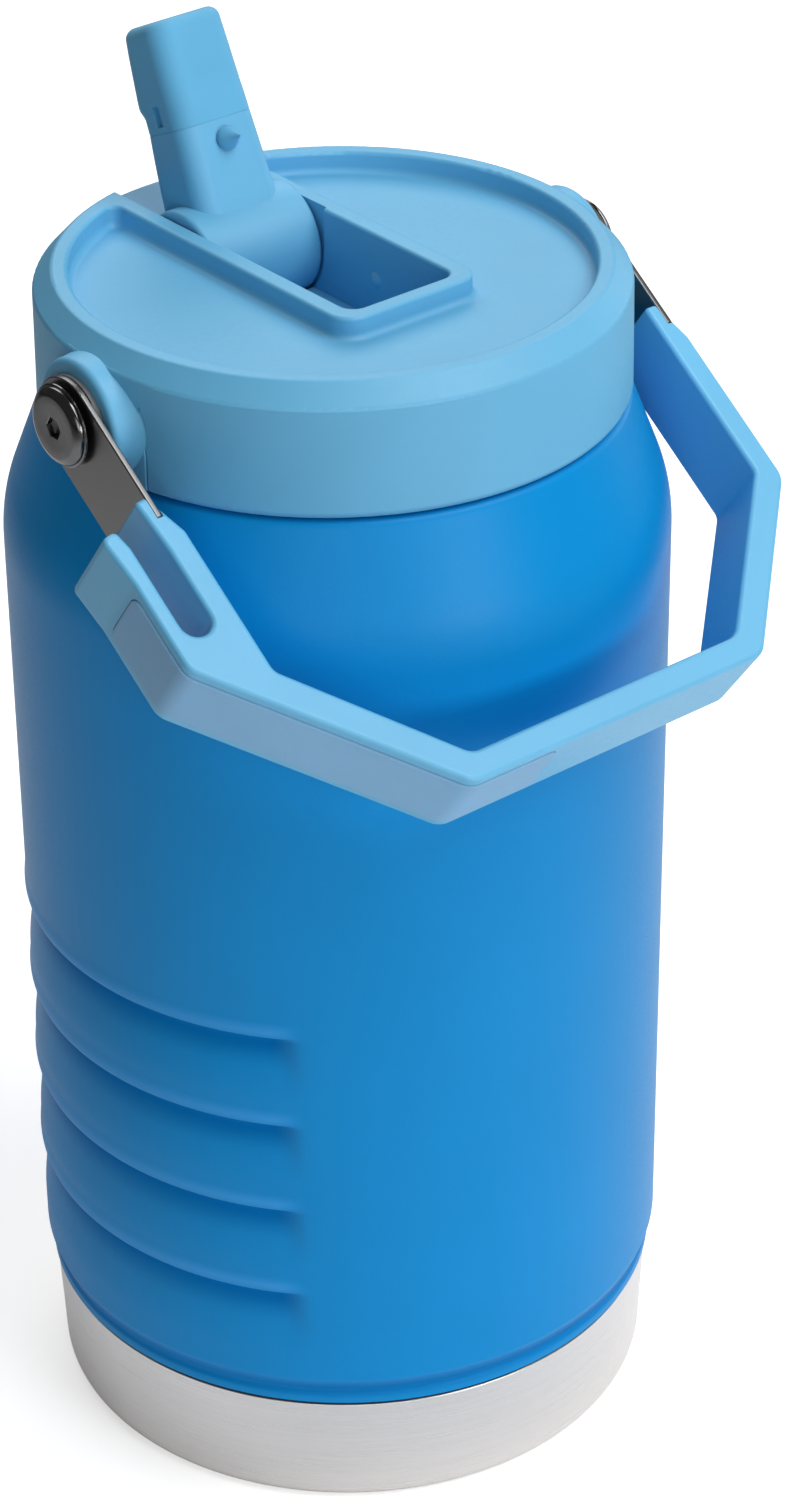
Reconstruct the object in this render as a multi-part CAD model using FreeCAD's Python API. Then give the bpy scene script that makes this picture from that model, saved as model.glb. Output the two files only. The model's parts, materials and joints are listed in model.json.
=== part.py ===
"""Large insulated water jug: double-wall steel body, screw lid with a folding
drinking spout and straw, and a swinging bail handle with a hook on one arm.

Millimetres.  +Z is up and the origin is the centre of the base.  The bail turns
about an axis along X, the spout leans towards +Y and folds down towards -Y, and
the bail hangs on the -Y side.  "Left" is -X, the side with the hook.
"""
import FreeCAD, Part
import math
import os

V = FreeCAD.Vector

# ---- driving dimensions -------------------------------------------------------
BODY_R = 66.0            # painted body, outside
WALL = 0.7               # outer shell wall
FOOT_R = 63.2            # steel foot at the floor
BAND_R = 64.4            # top of the bare steel band
BAND_TOP = 26.3          # height of the bare steel band
SHOULDER_Z = 206.0       # where the straight wall meets the shoulder
SHOULDER_TOP = 228.6     # flat top of the shoulder, under the lid skirt
SHOULDER_TOP_R = 57.4
INNER_R = 60.2           # inner vessel, outside
INNER_WALL = 0.5
INNER_FLOOR = 10.0
NECK_R = 51.2            # steel neck, outside, under the thread
NECK_BORE_R = 48.6
NECK_TOP = 246.9
THREAD_LEAD = 8.0
THREAD_TURNS = 1.25

GRIP_RIBS = 4            # finger steps pressed into the left side of the body
GRIP_TOP = 119.0
GRIP_PITCH = 20.9
GRIP_DEPTH = 2.0
GRIP_FADE = 14.0         # height over which a step runs back out to the wall
GRIP_SHIFT = 24.0        # offset and radius of the cylinder that ends the steps
GRIP_CYL_R = 85.1

SKIRT_R = 57.9           # lid skirt, bottom
SKIRT_BOTTOM = 229.0
SKIRT_WALL = 3.0
CHAMFER_Z = 251.4
CHAMFER_R = 57.65
LID_TOP = 255.5
RIM_R = 53.85            # outer edge of the flat rim
RIM_INNER_R = 50.7
LID_FLOOR = 251.0
LID_UNDER = 248.4
SAME_BODY_GAP = 0.05     # between pieces of one body
FREE_GAP = 0.3           # between pieces that move past each other

POCKET_HALF = 12.7       # pocket for the folded spout
POCKET_WALL_HALF = 16.8
POCKET_END_Y = -21.2
POCKET_FLOOR = 237.4
POCKET_SKIN = 2.0
BAY_HALF = 13.5          # wider bay that holds the hinge drum
BAY_FRONT_Y = 18.7
BAY_BACK_Y = 43.4
NOTCH_FLOOR = 252.0      # the rim is lowered here behind the spout

DRUM_Y = 31.0            # spout hinge axis
DRUM_Z = 246.0
DRUM_R = 11.6
DRUM_HALF = 13.0
SPOUT_LEAN = 24.0        # degrees from upright, towards +Y
SPOUT_LEN = 47.5
SPOUT_SPLIT = 26.0       # where the soft mouthpiece starts
CHANNEL = (9.0, 6.4)     # water way through the spout
CORE = (12.4, 9.6)       # hard tube inside the mouthpiece
PORT_R = 3.6
PIN_R = 2.0
STRAW_R = 5.6
STRAW_BORE_R = 4.6
STRAW_BOTTOM = 14.0
PLUG_ALONG = 22.0        # vent plug, distance up the spout
VENT_Y = DRUM_Y - PLUG_ALONG

PIVOT_Z = 240.6          # bail pivot height
BOSS_R = 11.9
BOSS_FACE = 61.2
STRAP_IN = 62.3          # straps, distance of their two faces from the centre
STRAP_OUT = 63.6
STRAP_HALF = 9.1
HEAD_R = 7.7
HEAD_IN = 64.5
HEAD_OUT = 66.6
SHANK_R = 3.0

BAIL_DROP = 35.7         # degrees below level at rest
BAIL_HALF = 9.2          # half height of the plastic handle
ARM_IN = 59.7            # arms, inner and outer faces
ARM_OUT = 65.0
HOOK_IN = 71.6           # hook prong outside the left arm
HOOK_OUT = 75.2
HOOK_END = 51.5          # closed end of the hook slot
ARM_TIP = 22.6
ARM_END_IN = 62.8        # where the arms turn in to the grip
ARM_END_OUT = 65.9
HOOK_END_OUT = 56.7
GRIP_IN = 91.6           # grip bar, inner and outer faces
GRIP_OUT = 97.3
GRIP_HALF_IN = 32.9
GRIP_HALF_OUT = 36.1
PANEL_STOP = 15.0        # the soft panel ends this far left of the middle of the grip
STRAP_SHOW = 27.5        # the strap is full width down to here
STRAP_END = 45.0
TANG_HALF = 6.0


# ---- helpers --------------------------------------------------------------------
def rounded_edges(corners):
    """Edges of a closed outline through (a, b[, radius]) corners in the XY plane."""
    pts = [V(c[0], c[1], 0) for c in corners]
    radii = [c[2] if len(c) > 2 else 0.0 for c in corners]
    count = len(pts)
    spans = []
    for i, corner in enumerate(pts):
        back = (pts[i - 1] - corner).normalize()
        ahead = (pts[(i + 1) % count] - corner).normalize()
        if radii[i] <= 0:
            spans.append((corner, None, corner))
            continue
        half = back.getAngle(ahead) / 2
        reach = radii[i] / math.tan(half)
        middle = corner + (back + ahead).normalize() * (radii[i] / math.sin(half) - radii[i])
        spans.append((corner + back * reach, middle, corner + ahead * reach))
    edges = []
    for i, (start, middle, end) in enumerate(spans):
        if middle is not None:
            edges.append(Part.Arc(start, middle, end).toShape())
        after = spans[(i + 1) % count][0]
        if end.distanceToPoint(after) > 1e-6:
            edges.append(Part.LineSegment(end, after).toShape())
    return edges


def outline_face(corners):
    return Part.Face(Part.Wire(rounded_edges(corners)))


def prism(corners, bottom, top):
    """Outline in the XY plane pushed up from bottom to top."""
    face = outline_face(corners)
    face.translate(V(0, 0, bottom))
    return face.extrude(V(0, 0, top - bottom))


def turned(corners):
    """Profile of (radius, height[, rounding]) corners turned about Z."""
    face = outline_face(corners)
    face.rotate(V(0, 0, 0), V(1, 0, 0), 90)
    return face.revolve(V(0, 0, 0), V(0, 0, 1), 360)


def box(x0, x1, y0, y1, z0, z1):
    return Part.makeBox(x1 - x0, y1 - y0, z1 - z0, V(x0, y0, z0))


def rod(radius, x0, x1, y, z):
    """Cylinder along X."""
    return Part.makeCylinder(radius, x1 - x0, V(x0, y, z), V(1, 0, 0))


def tube(outer, inner, x0, x1, y, z):
    return rod(outer, x0, x1, y, z).cut(rod(inner, x0 - 1, x1 + 1, y, z))


def mirrored(shape):
    return shape.mirror(V(0, 0, 0), V(1, 0, 0))


def rounded_box_wire(half_x, y0, y1, radius, z):
    """Rounded rectangle at height z."""
    corners = [(-half_x, y0, radius), (half_x, y0, radius), (half_x, y1, radius), (-half_x, y1, radius)]
    wire = Part.Wire(rounded_edges(corners))
    wire.translate(V(0, 0, z))
    return wire


def offset_path(points, distance):
    """Open path of (x, y) points moved sideways to its left by distance."""
    moved = []
    for i, (x, y) in enumerate(points):
        here = V(x, y, 0)
        dirs = []
        if i > 0:
            dirs.append((here - V(*points[i - 1], 0)).normalize())
        if i < len(points) - 1:
            dirs.append((V(*points[i + 1], 0) - here).normalize())
        normals = [V(-d.y, d.x, 0) for d in dirs]
        mean = sum(normals, V()).normalize()
        step = mean * (distance / mean.dot(normals[0]))
        moved.append((x + step.x, y + step.y))
    return moved


# ---- body -------------------------------------------------------------------------
def grip_tool(inset):
    """Stepped finger grips on the -X side, set in by inset for the inner face."""
    wall = BODY_R - inset
    steps = []
    for i in range(GRIP_RIBS):
        top = GRIP_TOP - i * GRIP_PITCH - inset * 0.4
        profile = [(wall - GRIP_DEPTH, top - 1.2, 1.0), (wall + 4, top + 1.0),
                   (wall + 4, top - GRIP_FADE), (wall, top - GRIP_FADE)]
        steps.append(turned(profile))
    ring = steps[0].multiFuse(steps[1:])
    keep_out = Part.makeCylinder(GRIP_CYL_R - inset, 300, V(GRIP_SHIFT, 0, -10))
    return ring.cut(keep_out)


def body_solid(inset):
    """Solid of the body's outline, set in by inset, from the band up."""
    low = BAND_TOP + 0.3
    slope = math.atan2(SHOULDER_TOP - SHOULDER_Z, BODY_R - SHOULDER_TOP_R)
    top = SHOULDER_TOP - inset
    shoulder_r = SHOULDER_TOP_R - inset / math.sin(slope) + inset / math.tan(slope)
    profile = [
        (0, low - (5 if inset else 0)), (64.9 - inset, low - (5 if inset else 0), 0.0 if inset else 0.4),
        (64.9 - inset, low + 2.6, 0.4), (64.1 - inset, low + 3.5, 0.5),
        (64.1 - inset, low + 4.6, 0.5), (65.2 - inset, low + 5.4, 1.2),
        (BODY_R - inset, low + 12.0, 8.0), (BODY_R - inset, SHOULDER_Z, 35.0),
        (shoulder_r, top, 2.0), (0, top)]
    return turned(profile)


def outer_shell():
    outside = body_solid(0).cut(grip_tool(0))
    inside = body_solid(WALL).cut(grip_tool(WALL))
    neck_hole = Part.makeCylinder(NECK_BORE_R + 0.8, 40, V(0, 0, SHOULDER_TOP - 20))
    return outside.cut(inside).cut(neck_hole)


def base_cup():
    """Bare steel cup that closes the bottom of the outer wall."""
    wall = 0.8
    profile = [
        (0, 1.0), (56.0, 1.0, 0.4), (57.2, 0, 0.8), (FOOT_R, 0, 3.2), (BAND_R, BAND_TOP, 0.3),
        (BAND_R - wall, BAND_TOP, 0.2), (FOOT_R - wall + 0.05, wall, 2.2),
        (58.0, wall, 0.3), (56.8, 1.0 + wall, 0.4), (0, 1.0 + wall)]
    return turned(profile)


def base_disc():
    """Flat disc pressed flush into the foot."""
    return turned([(0, 0), (55.4, 0, 0.5), (55.4, 0.95, 0.2), (0, 0.95)])


def vessel_solid(inset):
    floor = INNER_FLOOR + inset
    radius = INNER_R - inset
    neck = NECK_BORE_R + INNER_WALL - inset
    return turned([
        (0, floor), (radius, floor, 14.0), (radius, 203.0, 20.0), (neck, 222.0, 6.0),
        (neck, NECK_TOP + (2 if inset else 0)), (0, NECK_TOP + (2 if inset else 0))])


def inner_vessel():
    lip = turned([(NECK_BORE_R + 0.1, NECK_TOP - 0.7), (NECK_R, NECK_TOP - 0.7, 0.2),
                  (NECK_R, NECK_TOP, 0.3), (NECK_BORE_R + 0.1, NECK_TOP)])
    return vessel_solid(0).fuse(lip).cut(vessel_solid(INNER_WALL)).removeSplitter()


def neck_ring():
    """Steel neck with its rolled thread, one long rib that climbs the lead."""
    bottom, top = SHOULDER_TOP + SAME_BODY_GAP, NECK_TOP - 0.75
    inner = NECK_BORE_R + INNER_WALL + SAME_BODY_GAP
    sleeve = turned([(inner, bottom), (NECK_R, bottom), (NECK_R, top, 0.3), (inner, top)])
    start = 231.5
    spine = Part.makeHelix(THREAD_LEAD, THREAD_LEAD * THREAD_TURNS, NECK_R)
    section = Part.makePolygon([V(NECK_R - 0.6, 0, -1.3), V(NECK_R + 1.1, 0, -0.5),
                                V(NECK_R + 1.1, 0, 0.5), V(NECK_R - 0.6, 0, 1.3),
                                V(NECK_R - 0.6, 0, -1.3)])
    rib = Part.Wire(spine.Edges).makePipeShell([section], True, True)
    rib.translate(V(0, 0, start))
    return sleeve.fuse(rib)


def getter_tablet():
    """Gas getter held in the vacuum space, on the base cup."""
    return Part.makeCylinder(6.0, 2.4, V(30, 0, 1.85))


# ---- lid ----------------------------------------------------------------------------
def pocket_outline(half, end_y, back_y, radius):
    return [(-half, back_y), (-half, end_y, radius), (half, end_y, radius), (half, back_y)]


def mount_panel(grow):
    """Rounded panel around the left boss, let into the skirt."""
    ring = turned([(SKIRT_R - 2.0 - grow, SKIRT_BOTTOM + 0.6), (SKIRT_R + 0.04, SKIRT_BOTTOM + 0.6, 0.4),
                   (SKIRT_R - 0.1, 245.0), (SKIRT_R - 2.0 - grow, 245.0)])
    half, top = 14.4 + grow, PIVOT_Z + grow
    window = prism([(-half, 200.0), (half, 200.0), (half, top, 4.0), (-half, top, 4.0)], 40, 80)
    window.rotate(V(0, 0, 0), V(1, 0, 0), 90)
    window.rotate(V(0, 0, 0), V(0, 0, 1), -90)
    return ring.common(window)


def boss_solid(grow):
    """Round pivot boss that stands out of the left side of the skirt."""
    boss = rod(BOSS_R + grow, -BOSS_FACE, -SKIRT_R + 4.2 - grow, 0, PIVOT_Z)
    flare = Part.makeCone(BOSS_R, BOSS_R + 3.0, 3.0, V(-58.6, 0, PIVOT_Z), V(1, 0, 0))
    return boss.fuse(flare).common(box(-80, -50, -30, 30, SKIRT_BOTTOM + 0.2, 252.0))


def pivot_mount_left():
    body = mount_panel(0).fuse(boss_solid(0))
    inside = turned([(0, 200), (SKIRT_R - 2.0, 200), (SKIRT_R - 2.0, 260), (0, 260)])
    body = body.cut(inside)
    return body.cut(rod(4.5 + SAME_BODY_GAP, -BOSS_FACE - 1, -50, 0, PIVOT_Z))


def flat_edges(shape, height, most_radius=1e9):
    """Edges of shape that lie level at a height, and within a distance of the Z axis."""
    found = []
    for edge in shape.Edges:
        middle = edge.valueAt((edge.FirstParameter + edge.LastParameter) / 2)
        level = abs(edge.BoundBox.ZMin - height) < 1e-4 and abs(edge.BoundBox.ZMax - height) < 1e-4
        if level and math.hypot(middle.x, middle.y) < most_radius:
            found.append(edge)
    return found


def lid_top():
    """Skirt, chamfer, rim and sunken top, with the wall that rings the pocket on three sides."""
    solid = turned([
        (0, SKIRT_BOTTOM), (SKIRT_R, SKIRT_BOTTOM, 1.6), (CHAMFER_R, CHAMFER_Z, 1.2),
        (RIM_R, LID_TOP, 0.9), (RIM_INNER_R, LID_TOP), (RIM_INNER_R, LID_FLOOR), (0, LID_FLOOR)])
    inside_rim = Part.makeCylinder(RIM_R - 1.5, 20, V(0, 0, LID_FLOOR - 2))
    wall = prism(pocket_outline(POCKET_WALL_HALF, POCKET_END_Y - 3.4, 60.0, 5.0), LID_FLOOR - 1, LID_TOP)
    solid = solid.fuse(wall.common(inside_rim)).removeSplitter()
    upright = [e for e in solid.Edges if e.BoundBox.ZLength > 4 and e.BoundBox.YMin > 30
               and e.BoundBox.XLength < 1e-3 and abs(abs(e.BoundBox.XMin) - POCKET_WALL_HALF) < 0.5]
    solid = solid.makeFillet(2.0, upright)
    solid = solid.makeFillet(1.3, flat_edges(solid, LID_FLOOR))
    return solid.makeFillet(0.8, flat_edges(solid, LID_TOP, RIM_INNER_R + 0.5))


def pocket_cut():
    """Everything the folded spout and its drum need empty."""
    pocket = prism(pocket_outline(POCKET_HALF, POCKET_END_Y, 30.0, 3.0), POCKET_FLOOR, 270.0)
    bay = box(-BAY_HALF, BAY_HALF, BAY_FRONT_Y, BAY_BACK_Y, DRUM_Z, 270.0)
    cradle = rod(DRUM_R + 0.6, -BAY_HALF, BAY_HALF, DRUM_Y, DRUM_Z)
    notch = box(-BAY_HALF, BAY_HALF, BAY_BACK_Y - 4, 70.0, NOTCH_FLOOR, 270.0)
    return pocket.multiFuse([bay, cradle, notch])


def lid_body():
    hollow_r = SKIRT_R - SKIRT_WALL
    hollow = turned([(0, SKIRT_BOTTOM - 5), (hollow_r, SKIRT_BOTTOM - 5), (hollow_r, LID_UNDER, 1.0),
                     (0, LID_UNDER)])
    tub = prism(pocket_outline(POCKET_WALL_HALF, POCKET_END_Y - 3.4, BAY_BACK_Y + 2.2, 5.0),
                POCKET_FLOOR - POCKET_SKIN, LID_UNDER + 0.5)
    seat_half = BAY_HALF + 2.0
    seat = prism([(-seat_half, BAY_FRONT_Y - 1, 2.0), (seat_half, BAY_FRONT_Y - 1, 2.0),
                  (seat_half, BAY_BACK_Y, 2.0), (-seat_half, BAY_BACK_Y, 2.0)], 231.4, 240.0)
    nipple = Part.makeCylinder(STRAW_BORE_R - SAME_BODY_GAP, 8, V(0, DRUM_Y, 224.5))
    inside_neck = Part.makeCylinder(NECK_BORE_R - FREE_GAP, 30, V(0, 0, 220))
    below = tub.multiFuse([seat, nipple]).common(inside_neck)
    solid = lid_top().cut(hollow).fuse(below).cut(pocket_cut())
    rim_of_pocket = [e for e in flat_edges(solid, LID_TOP, 30.0) if e.BoundBox.YMax < BAY_FRONT_Y + 0.01
                     and max(-e.BoundBox.XMin, e.BoundBox.XMax) < POCKET_HALF + 0.01]
    solid = solid.makeFillet(0.8, rim_of_pocket)
    bump_y, bump_z = 2.8, 245.7
    bump = Part.makeSphere(2.2, V(POCKET_HALF + 1.4, bump_y, bump_z))
    solid = solid.multiFuse([bump, mirrored(bump)])
    drills = [
        Part.makeCylinder(PORT_R, 30, V(0, DRUM_Y, 215)),
        Part.makeCylinder(6.6, 5, V(0, DRUM_Y, 232.6)),
        Part.makeCylinder(3.6, 10, V(0, VENT_Y, 230)),
        rod(PIN_R, -15.9, 15.9, DRUM_Y, DRUM_Z)]
    for left in (mount_panel(0.12), boss_solid(0.12)):
        drills += [left, mirrored(left)]
    return solid.cut(drills[0].multiFuse(drills[1:]))


def lid_liner():
    """Inner threaded sleeve of the lid; its bore clears the crest of the neck thread."""
    outer = SKIRT_R - SKIRT_WALL - 0.1
    return turned([(outer - 1.9, 230.6, 0.6), (outer, 230.6, 0.3), (outer, LID_UNDER - 1.1),
                   (outer - 1.9, LID_UNDER - 1.1)])


def lid_gasket():
    """Flat ring that seals the lid on the lip of the neck."""
    return turned([(49.0, NECK_TOP + 0.06, 0.3), (52.6, NECK_TOP + 0.06, 0.3),
                   (52.6, LID_UNDER - 0.06, 0.3), (49.0, LID_UNDER - 0.06, 0.3)])


def spout_seal():
    """Soft ring around the port, hollowed to the drum."""
    ring = Part.makeCylinder(6.5, 4, V(0, DRUM_Y, 232.65))
    ring = ring.cut(Part.makeCylinder(PORT_R, 20, V(0, DRUM_Y, 225)))
    return ring.cut(rod(DRUM_R + FREE_GAP, -20, 20, DRUM_Y, DRUM_Z))


def spout_pin():
    """Left hinge pin of the spout, pressed into the wall of the bay."""
    return rod(PIN_R, -15.8, -9.2, DRUM_Y, DRUM_Z)


def vent_valve():
    """Soft cup under the vent hole that the plug on the spout closes."""
    cup = Part.makeCylinder(5.6, 4.6, V(0, VENT_Y, 230.7))
    cup = cup.cut(Part.makeCylinder(3.6, 10, V(0, VENT_Y, 232.0)))
    return cup.cut(Part.makeCylinder(0.8, 10, V(0, VENT_Y, 226)))


def straw():
    """Long straw that slips over the nipple under the drum, cut at a slant."""
    height = 231.2 - STRAW_BOTTOM
    pipe = Part.makeCylinder(STRAW_R, height, V(0, DRUM_Y, STRAW_BOTTOM))
    pipe = pipe.cut(Part.makeCylinder(STRAW_BORE_R, height + 2, V(0, DRUM_Y, STRAW_BOTTOM - 1)))
    wedge = box(-10, 10, -10, 10, -10, 0)
    wedge.rotate(V(0, 0, 0), V(1, 0, 0), 25)
    wedge.translate(V(0, DRUM_Y, STRAW_BOTTOM + 2.6))
    return pipe.cut(wedge)


# ---- spout, built upright on its hinge axis -----------------------------------------
def lean(shape):
    placed = shape.copy()
    placed.rotate(V(0, 0, 0), V(1, 0, 0), -SPOUT_LEAN)
    placed.translate(V(0, DRUM_Y, DRUM_Z))
    return placed


def spout_base():
    drum = rod(DRUM_R, -DRUM_HALF, DRUM_HALF, 0, 0)
    drum = drum.makeFillet(1.0, drum.Edges[:1] + drum.Edges[2:3])
    stem = Part.makeLoft([rounded_box_wire(9.9, -8.2, 8.6, 4.0, 3.0),
                          rounded_box_wire(9.6, -8.0, 8.2, 4.2, 14.0),
                          rounded_box_wire(9.2, -7.8, 6.9, 4.2, SPOUT_SPLIT)], True, False)
    core = prism([(-CORE[0] / 2, -CORE[1] / 2, 3.5), (CORE[0] / 2, -CORE[1] / 2, 3.5),
                  (CORE[0] / 2, CORE[1] / 2, 3.5), (-CORE[0] / 2, CORE[1] / 2, 3.5)],
                 SPOUT_SPLIT - 2, SPOUT_LEN - 5.5)
    way = prism([(-CHANNEL[0] / 2, -CHANNEL[1] / 2, 3.0), (CHANNEL[0] / 2, -CHANNEL[1] / 2, 3.0),
                 (CHANNEL[0] / 2, CHANNEL[1] / 2, 3.0), (-CHANNEL[0] / 2, CHANNEL[1] / 2, 3.0)],
                -2.0, SPOUT_LEN)
    solid = lean(drum.multiFuse([stem, core]).cut(way))
    solid = solid.cut(Part.makeCylinder(PORT_R, 14, V(0, DRUM_Y, DRUM_Z - 14)))
    for side in (-1, 1):
        solid = solid.cut(rod(PIN_R + 0.05, min(side * 9.0, side * 15), max(side * 9.0, side * 15),
                              DRUM_Y, DRUM_Z))
    return solid.cut(lean(Part.makeCylinder(1.6, 4, V(0, -10, PLUG_ALONG), V(0, 1, 0))))


def mouthpiece():
    """Soft sleeve over the end of the spout with a drinking slot in its slanted top."""
    skirt = Part.makeLoft([rounded_box_wire(9.1, -7.7, 6.7, 4.2, SPOUT_SPLIT + 0.12),
                           rounded_box_wire(9.0, -7.7, 6.9, 4.2, 29.4)], True, True)
    cuff = Part.makeLoft([rounded_box_wire(9.0, -7.7, 6.9, 4.2, 29.4),
                          rounded_box_wire(9.0, -7.6, 8.2, 4.2, 31.2)], True, True)
    tip = Part.makeLoft([rounded_box_wire(9.0, -7.6, 8.2, 4.2, 31.2),
                         rounded_box_wire(8.6, -7.3, 6.2, 4.4, SPOUT_LEN)], True, True)
    slant = box(-20, 20, -20, 20, 0, 20)
    slant.rotate(V(0, 0, 0), V(1, 0, 0), -4)
    slant.translate(V(0, 0, SPOUT_LEN - 0.6))
    sleeve = skirt.multiFuse([cuff, tip]).removeSplitter().cut(slant)
    top_edges = [e for e in sleeve.Edges if e.BoundBox.ZMin > SPOUT_LEN - 2.2]
    sleeve = sleeve.makeFillet(2.2, top_edges)
    grow = SAME_BODY_GAP
    core = prism([(-CORE[0] / 2 - grow, -CORE[1] / 2 - grow, 3.5),
                  (CORE[0] / 2 + grow, -CORE[1] / 2 - grow, 3.5),
                  (CORE[0] / 2 + grow, CORE[1] / 2 + grow, 3.5),
                  (-CORE[0] / 2 - grow, CORE[1] / 2 + grow, 3.5)], 20.0, SPOUT_LEN - 5.4)
    slot = prism([(-4.5, -2.4, 2.3), (4.5, -2.4, 2.3), (4.5, 2.4, 2.3), (-4.5, 2.4, 2.3)],
                 20.0, SPOUT_LEN + 5)
    window = box(-12, -7.6, -1.1, 1.1, 27.0, 31.6)
    return lean(sleeve.cut(core.multiFuse([slot, window])))


def vent_plug():
    """Pointed soft plug on the face of the spout that meets the vent when folded."""
    face = -7.98
    point = Part.makeCone(3.1, 0.9, 3.4, V(0, face, PLUG_ALONG), V(0, -1, 0))
    nose = Part.makeSphere(0.93, V(0, face - 3.3, PLUG_ALONG))
    stem = Part.makeCylinder(1.55, 1.9, V(0, face, PLUG_ALONG), V(0, 1, 0))
    return lean(point.multiFuse([nose, stem]))


# ---- bail, built level towards -Y with its pivot at the origin ----------------------
def hang(shape):
    placed = shape.copy()
    placed.rotate(V(0, 0, 0), V(1, 0, 0), BAIL_DROP)
    placed.translate(V(0, 0, PIVOT_Z))
    return placed


def bail_panel_path():
    """Outer line of the handle from the hook to where the panel ends on the grip."""
    return [(-HOOK_OUT, -39.0), (-HOOK_OUT, -HOOK_END_OUT), (-GRIP_HALF_OUT, -GRIP_OUT),
            (-PANEL_STOP, -GRIP_OUT)]


def panel_solid(grow):
    """Soft band let into the outer face of the handle and standing a little proud."""
    path = bail_panel_path()
    outer = offset_path(path, -0.5 - grow)
    inner = offset_path(path, 0.9 + grow)
    corners = [(x, y, 3.5 if 0 < i < len(path) - 1 else 0.3) for i, (x, y) in enumerate(outer)]
    corners += [(x, y, 2.2 if 0 < i < len(path) - 1 else 0.3)
                for i, (x, y) in reversed(list(enumerate(inner)))]
    half = BAIL_HALF - 1.9 + grow
    return prism(corners, -half, half)


def grip_panel():
    return hang(panel_solid(0))


def bail_handle():
    corners = [
        (-76.2, -27.4, 1.4), (-HOOK_OUT, -37.5, 8.0), (-HOOK_OUT, -HOOK_END_OUT, 4.5),
        (-GRIP_HALF_OUT, -GRIP_OUT, 5.0), (GRIP_HALF_OUT, -GRIP_OUT, 5.0),
        (ARM_OUT, -ARM_END_OUT, 5.0), (ARM_OUT, -31.5, 3.0), (62.6, -ARM_TIP, 0.9),
        (ARM_IN, -ARM_TIP, 0.9), (ARM_IN, -ARM_END_IN, 3.0), (GRIP_HALF_IN, -GRIP_IN, 4.0),
        (-GRIP_HALF_IN, -GRIP_IN, 4.0), (-ARM_IN, -ARM_END_IN, 3.0), (-ARM_IN, -31.5, 2.0),
        (-63.2, -ARM_TIP, 0.9), (-65.9, -ARM_TIP - 0.4, 0.8), (-ARM_OUT, -34.0, 6.0),
        (-ARM_OUT, -HOOK_END, 3.25), (-HOOK_IN, -HOOK_END, 3.25), (-HOOK_IN, -31.0, 3.0),
        (-72.6, -26.6, 0.8)]
    body = prism(corners, -BAIL_HALF, BAIL_HALF)
    rims = [e for e in body.Edges if e.BoundBox.ZLength < 1e-6]
    body = body.makeFillet(0.8, rims)
    slits = []
    for side in (-1, 1):
        near, far = STRAP_IN - SAME_BODY_GAP, STRAP_OUT + SAME_BODY_GAP
        x0, x1 = min(side * near, side * far), max(side * near, side * far)
        slits.append(box(x0, x1, -STRAP_SHOW - SAME_BODY_GAP, -10, -12, 12))
        slits.append(box(x0, x1, -STRAP_END - SAME_BODY_GAP, -20, -TANG_HALF - 0.05, TANG_HALF + 0.05))
    return hang(body.cut(slits[0].multiFuse(slits[1:])).cut(panel_solid(0.04)))


def strap_left():
    """Flat steel strap from the pivot screw into the arm, narrowed to a tang inside it."""
    show = -STRAP_SHOW
    plate = box(-STRAP_OUT, -STRAP_IN, show, 0, -STRAP_HALF, STRAP_HALF)
    eye = rod(STRAP_HALF, -STRAP_OUT, -STRAP_IN, 0, 0)
    tang = box(-STRAP_OUT, -STRAP_IN, -STRAP_END, show, -TANG_HALF, TANG_HALF)
    plate = plate.multiFuse([eye, tang]).removeSplitter()
    return hang(plate.cut(rod(4.1, -70, -50, 0, 0)))


def strap_bush_left():
    """Nylon bush in the eye of the strap, turning on the shoulder of the screw."""
    return tube(4.05, SHANK_R + 0.06, -STRAP_OUT, -STRAP_IN, 0, PIVOT_Z)


def pivot_washer_left():
    """Friction washer between the boss and the strap."""
    return tube(9.0, SHANK_R + 0.1, -STRAP_IN + 0.15, -BOSS_FACE - SAME_BODY_GAP, 0, PIVOT_Z)


def pivot_screw_left():
    """Shoulder screw with a low round head and a hexagon recess."""
    head = turned([(0, 0), (HEAD_R + 0.5, 0, 0.2), (HEAD_R + 0.5, 0.6, 0.3), (HEAD_R, 0.7, 0.1),
                   (HEAD_R, HEAD_OUT - HEAD_IN, 0.9), (0, HEAD_OUT - HEAD_IN)])
    size = 2.0
    hexagon = [(size * math.cos(math.radians(60 * i)), size * math.sin(math.radians(60 * i)))
               for i in range(6)]
    head = head.cut(prism(hexagon, 1.0, 5.0))
    head.rotate(V(0, 0, 0), V(0, 1, 0), -90)
    head.translate(V(-HEAD_IN, 0, PIVOT_Z))
    shank = rod(SHANK_R, -HEAD_IN - 0.3, -56.0, 0, PIVOT_Z)
    return head.fuse(shank)


def pivot_insert_left():
    """Brass insert in the boss that the screw goes into."""
    return tube(4.5, SHANK_R + 0.02, -BOSS_FACE + 0.1, -56.0, 0, PIVOT_Z)


# ---- files ------------------------------------------------------------------------
SINGLE_PIECES = [
    outer_shell, base_cup, base_disc, inner_vessel, neck_ring, getter_tablet,
    lid_body, lid_liner, lid_gasket, spout_seal, vent_valve, straw,
    spout_base, mouthpiece, vent_plug, bail_handle, grip_panel]
LEFT_PIECES = [
    pivot_mount_left, strap_left, strap_bush_left, pivot_washer_left, pivot_screw_left,
    pivot_insert_left]


def save(shape, name):
    solid = shape.Solids[0] if len(shape.Solids) == 1 else Part.Compound(shape.Solids)
    print(name, "solids", len(shape.Solids), "valid", shape.isValid(), "cm3", round(shape.Volume / 1000, 2))
    solid.exportStep("parts/%s.step" % name)


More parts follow.
